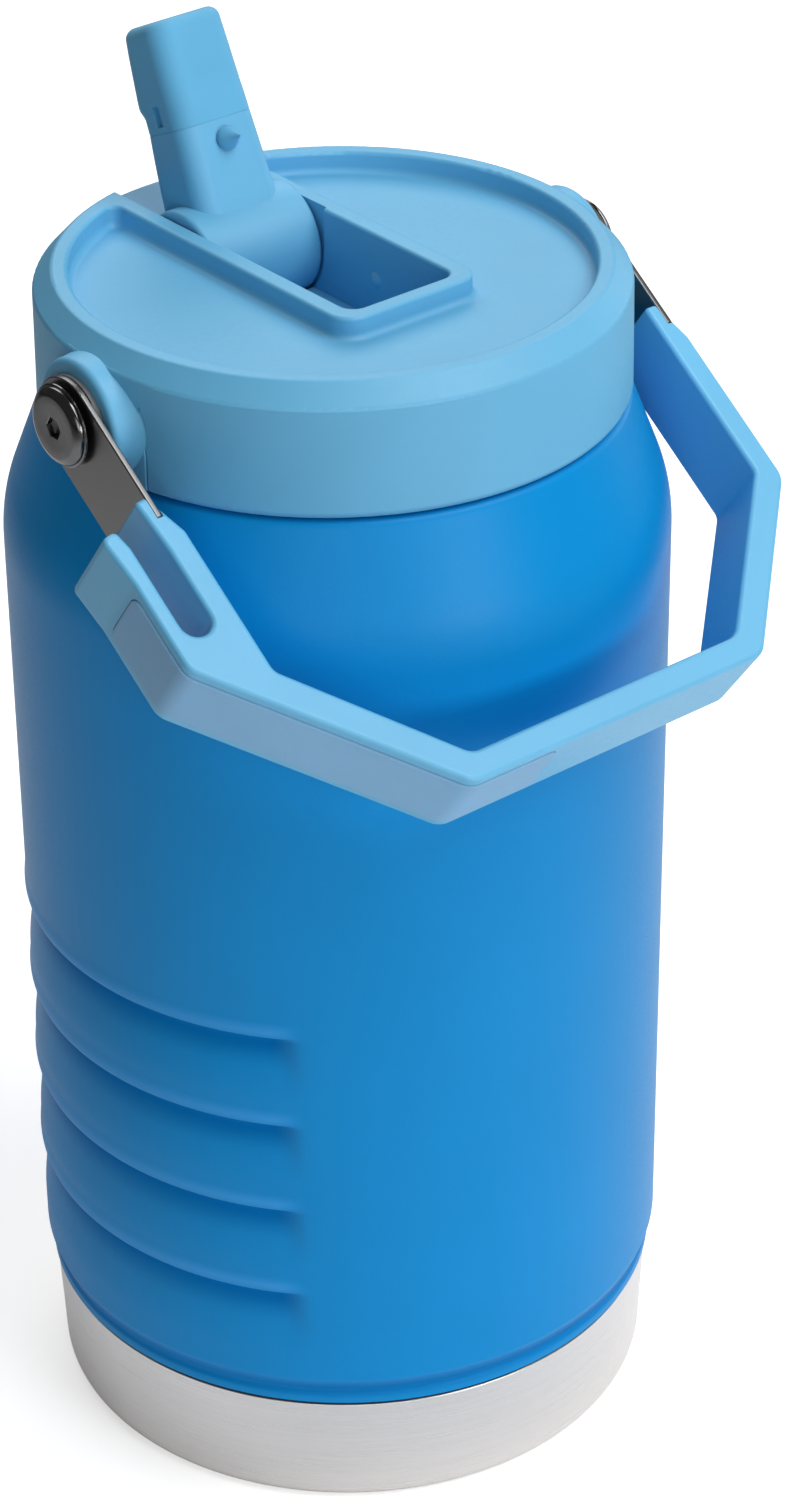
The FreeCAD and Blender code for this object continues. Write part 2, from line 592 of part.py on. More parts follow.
os.makedirs("parts", exist_ok=True)
for make in SINGLE_PIECES:
    save(make(), make.__name__)
for make in LEFT_PIECES:
    left = make()
    save(left, make.__name__)
    save(mirrored(left), make.__name__.replace("left", "right"))
pin = spout_pin()
save(pin, "spout_pin_left")
save(mirrored(pin), "spout_pin_right")
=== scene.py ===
"""Large insulated water jug with a screw lid, a folding drinking spout and a swinging bail.

Metres, +Z up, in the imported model's frame.  Shapes are written in millimetres and scaled
by MM when their mesh is made.  The bail turns about an axis along X, the spout leans
towards +Y, and the hook is on the -X arm of the bail.
"""
import json
import math

import bmesh
import bpy
from mathutils import Matrix, Vector


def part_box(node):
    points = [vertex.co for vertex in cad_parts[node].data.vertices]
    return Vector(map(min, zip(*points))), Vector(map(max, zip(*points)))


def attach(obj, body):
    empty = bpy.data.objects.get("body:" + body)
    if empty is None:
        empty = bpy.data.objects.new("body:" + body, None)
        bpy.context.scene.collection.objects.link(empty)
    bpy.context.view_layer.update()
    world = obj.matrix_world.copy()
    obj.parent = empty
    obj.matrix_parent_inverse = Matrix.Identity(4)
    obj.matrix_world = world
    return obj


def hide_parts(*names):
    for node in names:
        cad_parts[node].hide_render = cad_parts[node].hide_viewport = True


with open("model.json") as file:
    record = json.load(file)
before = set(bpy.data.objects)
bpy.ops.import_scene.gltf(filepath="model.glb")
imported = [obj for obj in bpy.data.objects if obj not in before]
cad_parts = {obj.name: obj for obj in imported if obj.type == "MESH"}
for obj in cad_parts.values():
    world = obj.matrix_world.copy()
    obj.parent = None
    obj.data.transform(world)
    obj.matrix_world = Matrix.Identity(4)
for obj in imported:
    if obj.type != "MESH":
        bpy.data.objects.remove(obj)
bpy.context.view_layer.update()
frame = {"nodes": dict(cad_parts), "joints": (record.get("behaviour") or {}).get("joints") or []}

MM = 0.001
NODES = frame["nodes"]
JOINTS = {joint["name"]: joint for joint in frame["joints"]}
PIVOT = Vector(JOINTS["bail_swing"]["pos_m"])
HINGE = Vector(JOINTS["spout_flip"]["pos_m"])


# ---- material building blocks ---------------------------------------------------
class Finish:
    """A Principled material and short calls that add procedural detail to it."""

    def __init__(self, name, roughness, metallic=0.0, specular=0.5):
        self.material = bpy.data.materials.new(name)
        self.material.use_nodes = True
        self.tree = self.material.node_tree
        self.shader = self.tree.nodes["Principled BSDF"]
        self.shader.inputs["Roughness"].default_value = roughness
        self.shader.inputs["Metallic"].default_value = metallic
        self.shader.inputs["Specular IOR Level"].default_value = specular
        self.place = self.tree.nodes.new("ShaderNodeTexCoord").outputs["Object"]
        self.bumps = None

    def set(self, **values):
        """Sets uniform values; an underscore stands for a space in the socket's name."""
        for socket, value in values.items():
            self.shader.inputs[socket.replace("_", " ")].default_value = value
        return self

    def noise(self, size_mm, detail, stretch):
        """Noise whose features are about size_mm across, longer along a stretched axis."""
        mapping = self.tree.nodes.new("ShaderNodeMapping")
        mapping.inputs["Scale"].default_value = [1 / (size_mm * MM * s) for s in stretch]
        texture = self.tree.nodes.new("ShaderNodeTexNoise")
        texture.inputs["Scale"].default_value = 1.0
        texture.inputs["Detail"].default_value = detail
        self.tree.links.new(self.place, mapping.inputs["Vector"])
        self.tree.links.new(mapping.outputs["Vector"], texture.inputs["Vector"])
        return texture.outputs["Fac"]

    def ramp(self, source, low, high, start=0.3, end=0.7):
        """Colour between low and high, following source from start to end."""
        node = self.tree.nodes.new("ShaderNodeValToRGB")
        node.color_ramp.elements[0].position = start
        node.color_ramp.elements[1].position = end
        node.color_ramp.elements[0].color = (*low, 1.0)
        node.color_ramp.elements[1].color = (*high, 1.0)
        self.tree.links.new(source, node.inputs["Fac"])
        return node.outputs["Color"]

    def mottle(self, low, high, size_mm, stretch=(1, 1, 1)):
        """Base colour that drifts between two close shades."""
        shade = self.ramp(self.noise(size_mm, 4.0, stretch), low, high)
        self.tree.links.new(shade, self.shader.inputs["Base Color"])
        return self

    def tint_by(self, attribute, color):
        """Draws the base colour towards another one where a mesh attribute is high."""
        share = self.tree.nodes.new("ShaderNodeAttribute")
        share.attribute_name = attribute
        mix = self.tree.nodes.new("ShaderNodeMix")
        mix.data_type = "RGBA"
        base = self.shader.inputs["Base Color"]
        self.tree.links.new(share.outputs["Fac"], mix.inputs["Factor"])
        self.tree.links.new(base.links[0].from_socket, mix.inputs[6])
        mix.inputs[7].default_value = (*color, 1.0)
        self.tree.links.new(mix.outputs[2], base)
        return self

    def socket_by(self, attribute, socket, low, high):
        """Sets a shader value that runs from low to high with a mesh attribute."""
        share = self.tree.nodes.new("ShaderNodeAttribute")
        share.attribute_name = attribute
        spread = self.tree.nodes.new("ShaderNodeMapRange")
        spread.inputs["To Min"].default_value = low
        spread.inputs["To Max"].default_value = high
        self.tree.links.new(share.outputs["Fac"], spread.inputs["Value"])
        self.tree.links.new(spread.outputs["Result"], self.shader.inputs[socket])
        return self

    def vary_roughness(self, low, high, size_mm, stretch=(1, 1, 1)):
        """Roughness that drifts between two values."""
        spread = self.tree.nodes.new("ShaderNodeMapRange")
        spread.inputs["From Min"].default_value = 0.3
        spread.inputs["From Max"].default_value = 0.7
        spread.inputs["To Min"].default_value = low
        spread.inputs["To Max"].default_value = high
        self.tree.links.new(self.noise(size_mm, 4.0, stretch), spread.inputs["Value"])
        self.tree.links.new(spread.outputs["Result"], self.shader.inputs["Roughness"])
        return self

    def bump(self, size_mm, height_mm, stretch=(1, 1, 1)):
        """Adds relief of about height_mm on top of any relief added before."""
        node = self.tree.nodes.new("ShaderNodeBump")
        node.inputs["Strength"].default_value = 1.0
        node.inputs["Distance"].default_value = height_mm * MM
        self.tree.links.new(self.noise(size_mm, 2.0, stretch), node.inputs["Height"])
        if self.bumps is not None:
            self.tree.links.new(self.bumps.outputs["Normal"], node.inputs["Normal"])
        self.bumps = node
        self.tree.links.new(node.outputs["Normal"], self.shader.inputs["Normal"])
        return self


def tinted(color, factor):
    """The same colour, lighter or darker."""
    return tuple(min(1.0, c * factor) for c in color)


# ---- materials -------------------------------------------------------------------
BODY_BLUE = (0.001, 0.26, 0.64)
# Painted shade, painted highlight and painted shadow colours for the finger steps, foot groove and
# lower lip of the painted shell.
PAINTED_SHADE_BLUE = (0.0, 0.17, 0.50)
PAINTED_HIGHLIGHT_BLUE = (0.04, 0.33, 0.78)
PAINTED_SHADOW_BLUE = (0.004, 0.02, 0.05)
SKY_BLUE = (0.13, 0.455, 0.72)
PANEL_BLUE = (0.23, 0.47, 0.73)
STEEL = (0.79, 0.77, 0.76)
STRAP_STEEL = (0.20, 0.20, 0.20)
SCREW_STEEL = (0.17, 0.17, 0.17)


SCATTER_MM = (2, 4, 8)


def scatter(finish, weight, scale):
    """A little light that goes into the plastic and comes out again nearby."""
    finish.set(Subsurface_Weight=weight, Subsurface_Radius=[reach * MM for reach in SCATTER_MM],
               Subsurface_Scale=scale)


def powder_coat():
    """Satin paint over steel with fine grain; painted shade and less reflection under the steps and
    in the foot groove, a painted highlight above each step and a painted shadow line under the lower
    lip.
    """
    finish = Finish("painted_shell_paint", 0.42)
    finish.mottle(tinted(BODY_BLUE, 0.97), tinted(BODY_BLUE, 1.03), 38)
    # Painted shade under the steps and in the foot groove, painted highlight above each step,
    # painted shadow line under the paint's lower lip.
    finish.tint_by("painted_shade", PAINTED_SHADE_BLUE).tint_by("painted_highlight", PAINTED_HIGHLIGHT_BLUE).tint_by("painted_shadow", PAINTED_SHADOW_BLUE)
    # Where shade is painted, the paint also reflects less.
    finish.socket_by("painted_shade", "Specular IOR Level", 0.17, 0.02)
    finish.vary_roughness(0.34, 0.44, 0.5)
    finish.bump(3.2, 0.012).bump(0.45, 0.022)
    return finish.material


def matte_plastic(name, color, roughness, grain_mm):
    """Moulded plastic with a fine spark-eroded grain."""
    finish = Finish(name, roughness, specular=0.6)
    finish.mottle(tinted(color, 0.97), tinted(color, 1.03), 30)
    finish.vary_roughness(roughness - 0.05, roughness + 0.05, 1.1)
    finish.bump(grain_mm, 0.010).bump(6.0, 0.02)
    scatter(finish, 0.04, 0.4)
    return finish.material


def soft_rubber(name, color):
    """Silicone or soft overmould: rougher, slightly dusty sheen."""
    finish = Finish(name, 0.6, specular=0.25)
    finish.mottle(tinted(color, 0.96), tinted(color, 1.04), 18)
    finish.vary_roughness(0.54, 0.66, 0.9)
    finish.bump(0.35, 0.012).bump(5.0, 0.02)
    finish.set(Sheen_Weight=0.12, Sheen_Roughness=0.5)
    scatter(finish, 0.08, 0.5)
    return finish.material


def brushed(name, color, roughness, stretch, line_mm=0.22):
    """Steel with fine brush lines along the stretched axes."""
    finish = Finish(name, roughness, metallic=1.0)
    finish.mottle(tinted(color, 0.96), tinted(color, 1.03), line_mm, stretch)
    finish.vary_roughness(roughness - 0.04, roughness + 0.04, line_mm, stretch)
    finish.bump(line_mm, 0.004, stretch=stretch)
    return finish.material


def polished(name, color, roughness):
    """Turned and polished metal with faint handling marks."""
    finish = Finish(name, roughness, metallic=1.0)
    finish.mottle(tinted(color, 0.92), tinted(color, 1.05), 2.0)
    finish.vary_roughness(roughness - 0.05, roughness + 0.08, 1.2)
    finish.bump(0.5, 0.003)
    return finish.material


def pressed_powder():
    """Grey sintered getter."""
    finish = Finish("getter_powder", 0.8)
    finish.mottle((0.10, 0.10, 0.11), (0.20, 0.20, 0.21), 0.6)
    finish.bump(0.3, 0.08)
    return finish.material


def clear_plastic():
    """Frosted straw plastic."""
    finish = Finish("straw_frosted", 0.35)
    finish.mottle((0.72, 0.80, 0.86), (0.80, 0.86, 0.91), 12)
    finish.vary_roughness(0.28, 0.40, 2.0)
    finish.bump(1.5, 0.01)
    finish.set(Transmission_Weight=0.35, IOR=1.49)
    return finish.material


ALONG_RIM = (160, 160, 1)
ALONG_STRAP = (1, 60, 60)
LOOKS = {
    "painted_shell": powder_coat(),
    "bare_steel": brushed("bare_steel_brushed", STEEL, 0.30, ALONG_RIM),
    "getter": pressed_powder(),
    "silicone": soft_rubber("silicone_clear_grey", (0.62, 0.66, 0.68)),
    "lid_plastic": matte_plastic("lid_plastic_matte", SKY_BLUE, 0.5, 0.3),
    "liner_plastic": matte_plastic("liner_plastic_pale", (0.55, 0.62, 0.68), 0.45, 0.4),
    "brass_insert": polished("brass", (0.72, 0.52, 0.22), 0.28),
    # Near-black grey so the washer between strap and boss reads as a shaded gap: painted shade.
    "nylon": matte_plastic("nylon_painted_shade", (0.16, 0.16, 0.16), 0.45, 0.4),
    "polished_steel": polished("screw_steel", SCREW_STEEL, 0.16),
    "strap_steel": brushed("strap_brushed", STRAP_STEEL, 0.32, ALONG_STRAP, 0.3),
    "straw_plastic": clear_plastic(),
    "soft_mouthpiece": soft_rubber("mouthpiece_silicone", tinted(SKY_BLUE, 0.97)),
    "handle_plastic": matte_plastic("handle_plastic_matte", tinted(SKY_BLUE, 1.08), 0.42, 0.3),
    "grip_soft": soft_rubber("grip_overmould", PANEL_BLUE),
}


def finish_cad_nodes():
    """Gives every carried-over CAD node the procedural finish of its own slot."""
    for obj in NODES.values():
        slot_name = obj.data.materials[0].name.split(".")[0]
        for index in range(len(obj.material_slots)):
            obj.material_slots[index].link = "OBJECT"
            obj.material_slots[index].material = LOOKS[slot_name]


# ---- mesh building blocks ----------------------------------------------------------
def new_piece(name, points, faces, body, slot_name, replaces=(), move=None, sharp_deg=40.0):
    """Mesh object from millimetre points, smooth except at edges sharper than sharp_deg."""
    mesh = bpy.data.meshes.new(name)
    mesh.from_pydata([Vector(p) * MM for p in points], [], faces)
    work = bmesh.new()
    work.from_mesh(mesh)
    bmesh.ops.remove_doubles(work, verts=work.verts, dist=1e-7)
    bmesh.ops.dissolve_degenerate(work, edges=work.edges, dist=1e-7)
    bmesh.ops.recalc_face_normals(work, faces=work.faces)
    work.to_mesh(mesh)
    work.free()
    if move is not None:
        mesh.transform(move)
    mesh.polygons.foreach_set("use_smooth", [True] * len(mesh.polygons))
    mesh.set_sharp_from_angle(angle=math.radians(sharp_deg))
    mesh.materials.append(LOOKS[slot_name])
    piece = bpy.data.objects.new(name, mesh)
    bpy.context.scene.collection.objects.link(piece)
    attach(piece, body)
    if replaces:
        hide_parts(*replaces)
    return piece


def arc_corner(before, corner, after, radius, steps):
    """Points of the arc that rounds a corner, from the side of before to that of after."""
    back = (before - corner).normalized()
    ahead = (after - corner).normalized()
    half = back.angle(ahead) / 2
    centre = corner + (back + ahead).normalized() * (radius / math.sin(half))
    start = corner + back * (radius / math.tan(half)) - centre
    end = corner + ahead * (radius / math.tan(half)) - centre
    sweep = start.angle_signed(end)
    turned = []
    for i in range(steps + 1):
        angle = -sweep * i / steps
        c, s = math.cos(angle), math.sin(angle)
        turned.append(centre + Vector((start.x * c - start.y * s, start.x * s + start.y * c)))
    return turned


def rounded_line(corners, steps=6):
    """Open line through (a, b, radius) corners; its two ends stay as they are."""
    points = [Vector(c[:2]) for c in corners]
    line = [points[0]]
    for i in range(1, len(points) - 1):
        radius = corners[i][2] if len(corners[i]) > 2 else 0.0
        if radius > 0:
            line += arc_corner(points[i - 1], points[i], points[i + 1], radius, steps)
        else:
            line.append(points[i])
    return line + [points[-1]]


def rounded_outline(corners, inset=0.0, steps=6):
    """Closed counter-clockwise outline through (x, y, radius) corners, moved in by inset."""
    points = [Vector(c[:2]) for c in corners]
    count = len(points)
    area = sum(points[i - 1].cross(points[i]) for i in range(count))
    if area < 0:
        return rounded_outline(corners[::-1], inset, steps)
    moved, radii = [], []
    for i in range(count):
        before = (points[i] - points[i - 1]).normalized()
        after = (points[(i + 1) % count] - points[i]).normalized()
        normal_a, normal_b = Vector((-before.y, before.x)), Vector((-after.y, after.x))
        mitre = (normal_a + normal_b).normalized()
        moved.append(points[i] + mitre * (inset / mitre.dot(normal_a)))
        convex = before.cross(after) > 0
        radii.append(max(0.05, corners[i][2] + (-inset if convex else inset)))
    outline = []
    for i in range(count):
        outline += arc_corner(moved[i - 1], moved[i], moved[(i + 1) % count], radii[i], steps)
    return outline


def skin(rings, capped=False):
    """Surface through successive closed rings of equal length: (points, faces)."""
    count = len(rings[0])
    faces = []
    for level in range(len(rings) - 1):
        for i in range(count):
            j = (i + 1) % count
            faces.append((level * count + i, level * count + j,
                          (level + 1) * count + j, (level + 1) * count + i))
    if capped:
        faces.append(tuple(range(count))[::-1])
        faces.append(tuple(range((len(rings) - 1) * count, len(rings) * count)))
    return [p for ring in rings for p in ring], faces


def slab_mesh(corners, half, rim, steps=6, rim_steps=5):
    """Flat plate of an outline with rounded rims: (points, faces)."""
    levels = []
    for i in range(rim_steps + 1):
        angle = math.radians(90) * i / rim_steps
        levels.append((rim * (1 - math.cos(angle)), half - rim + rim * math.sin(angle)))
    levels = [(inset, -z) for inset, z in reversed(levels)] + levels
    rings = [[(p.x, p.y, z) for p in rounded_outline(corners, inset, steps)] for inset, z in levels]
    return skin(rings, capped=True)


def lathe_mesh(profile, segments, radius_at=None, capped=False):
    """Profile of (radius, z) turned about Z, radius changed by radius_at(angle, radius, z)."""
    rings = []
    for radius, z in profile:
        ring = []
        for i in range(segments):
            angle = 2 * math.pi * i / segments
            r = radius_at(angle, radius, z) if radius_at else radius
            ring.append((r * math.cos(angle), r * math.sin(angle), z))
        rings.append(ring)
    return skin(rings, capped)


def spread_points(line, spacing):
    """Adds points on the long runs of a line so that none is longer than spacing."""
    dense = [line[0]]
    for a, b in zip(line, line[1:]):
        parts = max(1, math.ceil((b - a).length / spacing))
        dense += [a.lerp(b, i / parts) for i in range(1, parts + 1)]
    return dense


# ---- painted shell ------------------------------------------------------------------
BODY_R = 66.0
SHELL_WALL = 0.7
GRIP_RIBS = 4
GRIP_TOP = 119.0
GRIP_PITCH = 20.9
GRIP_SHIFT = 24.0       # offset and radius of the cylinder that ends the steps
GRIP_CYL_R = 85.1
GRIP_END_RISE = 2.2     # how much quicker than that cylinder a step reaches its depth
GRIP_START = GRIP_TOP + 3.6
GRIP_PROFILE = [        # (distance below the start of a step, how far it is pressed in)
    (0.0, 0.0), (1.4, -0.12), (2.6, -0.32), (3.5, -0.28), (4.1, 0.30), (4.6, 1.40), (5.1, 2.0),
    (5.9, 2.25), (7.5, 1.92), (9.5, 1.46), (11.5, 1.02), (13.5, 0.63), (15.5, 0.31), (17.3, 0.10),
    (19.0, 0.0)]
# Painted shadow: height of the dark line painted in the undercut under the paint's lower lip.
PAINTED_SHADOW_TALL = 0.65        # undercut between the painted shell and the steel foot
# The foot groove also carries painted shade, darkest at this height.
FOOT_GROOVE = 4.6       # height of the groove's middle above the shell's lower edge
SHELL_SEGMENTS = 270
INSIDE_R = 62.4         # inside of the skin where the steps are, clear of their full depth


def smooth_lookup(table, x):
    """Monotone curve through a table of (x, y) points."""
    if x <= table[0][0] or x >= table[-1][0]:
        return 0.0
    index = next(i for i in range(len(table) - 1) if x < table[i + 1][0])

    def slope(i):
        if i <= 0 or i >= len(table) - 1:
            return 0.0
        before = (table[i][1] - table[i - 1][1]) / (table[i][0] - table[i - 1][0])
        after = (table[i + 1][1] - table[i][1]) / (table[i + 1][0] - table[i][0])
        return 2 * before * after / (before + after) if before * after > 0 else 0.0

    (x0, y0), (x1, y1) = table[index], table[index + 1]
    span = x1 - x0
    t = (x - x0) / span
    return ((2 * t ** 3 - 3 * t ** 2 + 1) * y0 + (t ** 3 - 2 * t ** 2 + t) * span * slope(index)
            + (3 * t ** 2 - 2 * t ** 3) * y1 + (t ** 3 - t ** 2) * span * slope(index + 1))


def soft_min(a, b, softness):
    """The smaller of two values, rounded where they cross."""
    blend = max(softness - abs(a - b), 0.0) / softness
    return min(a, b) - blend * blend * softness / 4


def grip_room(angle):
    """How far the end cylinder lies inside the wall at an angle: none where there are no steps."""
    facing = -math.cos(angle)
    if facing < 0.5:
        return 0.0
    return max(0.0, BODY_R + GRIP_SHIFT * facing - math.sqrt(
        (GRIP_SHIFT * facing) ** 2 + GRIP_CYL_R ** 2 - GRIP_SHIFT ** 2))


def grip_depth(angle, z):
    """How far the finger steps are pressed in at an angle and height."""
    room = grip_room(angle)
    if room <= 0:
        return 0.0
    press = sum(smooth_lookup(GRIP_PROFILE, GRIP_START - i * GRIP_PITCH - z)
                for i in range(GRIP_RIBS))
    if press <= 0:
        return press * min(1.0, room)
    return soft_min(press, room * GRIP_END_RISE, 0.8)


def shade_steps(piece):
    """Stores painted shade (under the steps, in the foot groove), painted highlight (above each
    step) and a painted shadow line (under the paint's lower lip).
    """
    mesh = piece.data
    for name in ("painted_shade", "painted_highlight", "painted_shadow"):
        mesh.attributes.new(name, "FLOAT", "POINT")
    painted_shade, painted_highlight, painted_shadow = (mesh.attributes[name] for name in ("painted_shade", "painted_highlight", "painted_shadow"))
    foot = min(vertex.co.z for vertex in mesh.vertices) / MM
    for vertex in mesh.vertices:
        x, y, z = vertex.co / MM
        # Painted shade across the foot groove and a painted shadow line along the bottom edge.
        groove = 0.9 * max(0.0, 1 - abs(z - foot - FOOT_GROOVE) / 2.6) ** 0.5
        painted_shade.data[vertex.index].value = groove
        painted_shadow.data[vertex.index].value = 1.0 if z < foot + PAINTED_SHADOW_TALL else 0.0
        reach = min(1.0, grip_room(math.atan2(y, x)) / 0.9)
        if reach <= 0 or math.hypot(x, y) < BODY_R - 4:
            continue
        # Painted shade from each step downwards, fading out below it, and a painted highlight on the
        # bead just above the step.
        for i in range(GRIP_RIBS):
            below = GRIP_START - i * GRIP_PITCH - z
            if 0 < below < 15:
                fade = max(0.0, 1 - max(0.0, below - 5.6) / 7.0)
                step_shade = min(1.0, max(0.0, (below - 3.8) / 0.5)) * fade * fade * (3 - 2 * fade)
                high = max(0.0, 1 - abs(below - 2.3) / 1.9)
                for store, value in ((painted_shade, step_shade), (painted_highlight, high)):
                    spot = store.data[vertex.index]
                    spot.value = max(spot.value, reach * value)


def painted_shell():
    """Outer steel shell with a rolled foot, a soft shoulder and the four finger steps."""
    low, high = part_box("outer_shell")
    bottom, top = low.z / MM, high.z / MM
    neck = 49.6
    outside = [
        (64.46, bottom, 0), (64.46, bottom + 0.6, 0), (64.9, bottom + 0.7, 0),
        (64.9, bottom + 2.4, 1.2), (64.45, bottom + 3.4, 1.0), (BODY_R, bottom + 7.4, 1.6),
        (BODY_R, 206.0, 35.0), (57.4, top, 2.0), (neck, top, 0)]
    line = spread_points(rounded_line(outside, 10), 1.0)
    fine = []
    for a, b in zip(line, line[1:]):
        steps = 2 if 44.0 < a.y < GRIP_TOP + 4.0 else 1
        fine += [a.lerp(b, i / steps) for i in range(steps)]
    fine.append(line[-1])
    inside = [(neck, top - SHELL_WALL), (57.0, top - SHELL_WALL), (BODY_R - SHELL_WALL, 204.0),
              (BODY_R - SHELL_WALL, 130.0), (INSIDE_R, 126.0), (INSIDE_R, bottom + 13.0),
              (64.0, bottom + 6.0), (64.0, bottom)]
    rows = [(p.x, p.y) for p in fine]
    points, faces = lathe_mesh(rows + inside + rows[:1], SHELL_SEGMENTS,
                               lambda angle, radius, z: radius - grip_depth(angle, z))
    shell = new_piece("shell_skin", points, faces, "jug_body", "painted_shell", ["outer_shell"],
                      sharp_deg=60)
    shade_steps(shell)


# ---- bail, shaped level towards -Y with its pivot at the origin ------------------------
BAIL_DROP = 35.7
HANG = Matrix.Translation(PIVOT) @ Matrix.Rotation(math.radians(BAIL_DROP), 4, "X")
BAIL_HALF = 9.2
HANDLE_RIM = 1.0
HANDLE_OUTLINE = [
    (-76.2, -27.4, 1.6), (-75.2, -37.5, 8.0), (-75.2, -56.7, 4.5), (-36.1, -97.3, 5.0),
    (36.1, -97.3, 5.0), (65.0, -65.9, 5.0), (65.0, -31.5, 3.0), (62.6, -22.6, 0.9),
    (59.7, -22.6, 0.9), (59.7, -62.8, 3.0), (32.9, -91.6, 4.0), (-32.9, -91.6, 4.0),
    (-59.7, -62.8, 3.0), (-59.7, -31.5, 2.0), (-63.2, -22.6, 0.9), (-65.9, -23.0, 0.8),
    (-65.0, -34.0, 6.0), (-65.0, -51.5, 3.25), (-71.6, -51.5, 3.25), (-71.6, -31.0, 3.0),
    (-72.6, -26.6, 1.2)]
STRAP_IN = 62.3
STRAP_OUT = 63.6
STRAP_HALF = 9.1
STRAP_SHOW = 27.5
STRAP_END = 45.0
TANG_HALF = 6.0
BUSH_R = 4.1


def box_piece(x0, x1, y0, y1, z0, z1):
    """Block used only as a cutter: (points, faces)."""
    points = [(x, y, z) for x in (x0, x1) for y in (y0, y1) for z in (z0, z1)]
    return points, [(0, 1, 3, 2), (4, 6, 7, 5), (0, 4, 5, 1), (2, 3, 7, 6), (0, 2, 6, 4),
                    (1, 5, 7, 3)]


def cut_out(piece, cutters, move):
    """Takes (points, faces) cutters away from a piece."""
    helpers = []
    for index, (points, faces) in enumerate(cutters):
        mesh = bpy.data.meshes.new("cutter")
        mesh.from_pydata([Vector(p) * MM for p in points], [], faces)
        mesh.transform(move)
        tidy = bmesh.new()
        tidy.from_mesh(mesh)
        bmesh.ops.recalc_face_normals(tidy, faces=tidy.faces)
        tidy.to_mesh(mesh)
        tidy.free()
        helper = bpy.data.objects.new("cutter", mesh)
        bpy.context.scene.collection.objects.link(helper)
        cut = piece.modifiers.new("cut%d" % index, "BOOLEAN")
        cut.operation, cut.solver, cut.object = "DIFFERENCE", "EXACT", helper
        helpers.append(helper)
    graph = bpy.context.evaluated_depsgraph_get()
    result = bpy.data.meshes.new_from_object(piece.evaluated_get(graph))
    piece.modifiers.clear()
    piece.data = result
    for helper in helpers:
        bpy.data.objects.remove(helper)


def even_shading(piece):
    """Large flats keep their own normal where they meet a rounded rim."""
    piece.modifiers.new("even_shading", "WEIGHTED_NORMAL").keep_sharp = True


PANEL_PROUD = 0.4
PANEL_DEPTH = 0.9
PANEL_HALF = 7.0
PANEL_CORNER = 2.2
PANEL_RIM = 0.6
PANEL_GAP = 0.16
PANEL_LINE = [(-75.2, -39.0), (-75.2, -56.7, 4.5), (-36.1, -97.3, 5.0), (-15.0, -97.3)]


def band_mesh(line, grow, proud, rim):
    """Band with rounded ends along a line on the handle, as (points, faces)."""
    half_height, corner = PANEL_HALF + grow, PANEL_CORNER + grow
    runs = [0.0]
    for a, b in zip(line, line[1:]):
        runs.append(runs[-1] + (b - a).length)
    total = runs[-1]
    ends = [rim * (1 - math.cos(math.radians(a))) for a in range(0, 91, 18)]
    ends += [corner * (1 - math.cos(math.radians(a))) for a in range(0, 91, 10)]
    stations = {round(v, 3) for v in ends + [total - v for v in ends] + runs}

    def at(run):
        index = max([i for i in range(len(runs) - 1) if runs[i] <= run] or [0])
        share = (run - runs[index]) / (runs[index + 1] - runs[index])
        place = line[index].lerp(line[index + 1], share)
        straight = index <= 1 or index >= len(line) - 3
        ahead = line[index + 1] - line[index] if straight else line[index + 2] - line[index - 1]
        return place, Vector((ahead.y, -ahead.x)).normalized()

    rings = []
    for run in sorted(stations):
        place, out = at(min(run, total - 1e-6))
        end = max(0.0, min(run, total - run))
        inside = max(0.0, corner - end)
        half = half_height - corner + math.sqrt(max(0.0, corner ** 2 - inside ** 2))
        rows = [half - rim * share for share in (0.0, 0.04, 0.15, 0.33, 0.6, 1.0)]
        ring = []
        for height in [-h for h in rows] + rows[::-1]:
            near = min(1.0, min(half - abs(height), end) / rim)
            spot = place + out * proud * math.sqrt(max(0.0, 1 - (1 - near) ** 2))
            ring.append((spot.x, spot.y, height))
        back = place - out * PANEL_DEPTH
        ring += [(back.x, back.y, half), (back.x, back.y, -half)]
        rings.append(ring)
    return skin(rings, capped=True)


def panel_line(beyond=0.0, lift=0.0):
    """Line of the band, made longer at both ends and moved outwards."""
    line = spread_points(rounded_line(PANEL_LINE, 8), 1.4)
    moved = []
    for i, point in enumerate(line):
        ahead = (line[min(i + 1, len(line) - 1)] - line[max(i - 1, 0)]).normalized()
        moved.append(point + Vector((ahead.y, -ahead.x)) * lift)
    moved[0] += (moved[0] - moved[1]).normalized() * beyond
    moved[-1] += (moved[-1] - moved[-2]).normalized() * beyond
    return moved


def handle():
    """Moulded carry handle: two arms, the grip bar, the hook and the slits for the straps."""
    points, faces = slab_mesh(HANDLE_OUTLINE, BAIL_HALF, HANDLE_RIM, rim_steps=6)
    piece = new_piece("handle_skin", points, faces, "bail", "handle_plastic", ["bail_handle"], HANG)
    cutters = []
    for side in (-1, 1):
        x0, x1 = sorted((side * (STRAP_IN - 0.06), side * (STRAP_OUT + 0.06)))
        cutters.append(box_piece(x0, x1, -STRAP_SHOW - 0.05, -10.0, -12.0, 12.0))
    cutters.append(band_mesh(panel_line(PANEL_GAP, 0.4), PANEL_GAP, 0.6, 0.05))
    cut_out(piece, cutters, HANG)
    even_shading(piece)


def panel():
    """Soft band along the outside of the handle, with rounded ends and edges."""
    points, faces = band_mesh(panel_line(), 0.0, PANEL_PROUD, PANEL_RIM)
    piece = new_piece("panel_skin", points, faces, "bail", "grip_soft", ["grip_panel"], HANG, 60)
    even_shading(piece)


